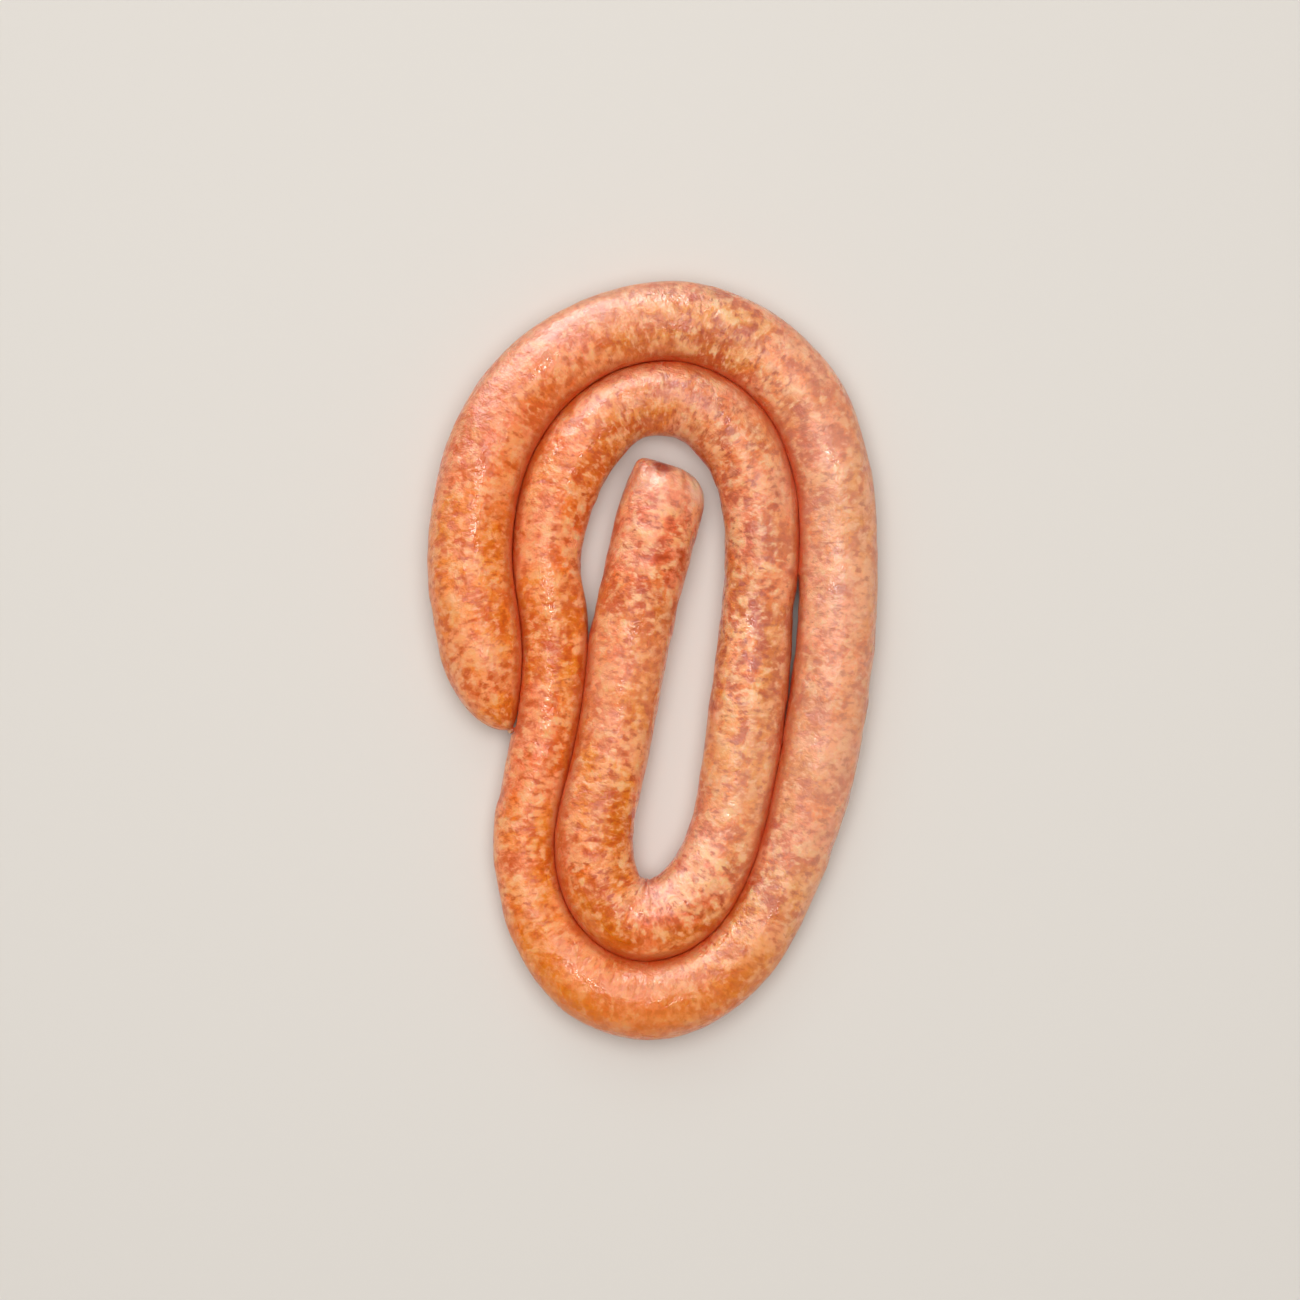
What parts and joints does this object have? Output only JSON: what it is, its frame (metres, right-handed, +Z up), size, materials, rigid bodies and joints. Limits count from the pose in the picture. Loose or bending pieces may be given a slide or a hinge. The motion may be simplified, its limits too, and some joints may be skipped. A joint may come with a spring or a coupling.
{
  "type": "sausage coil",
  "caption": "Unbroken length of raw pork sausage in a natural casing, laid flat as an oval coil, its turns pressed together and its outer end tucked in, for grilling or frying whole.",
  "frame": {"origin": "middle of the coil's plan, on the surface that it rests on", "axes": "+Y along the length of the oval, towards the end where the sausage starts in the middle, +Z up"},
  "size_m": [0.1542, 0.2602, 0.0259],
  "materials": {
    "sausage_skin": "coarse minced pork in salmon, orange and cream under a thin, moist, half-clear natural casing"
  },
  "bodies": {
    "root": {"sausage_coil": "sausage_skin"}
  },
  "joints": []
}
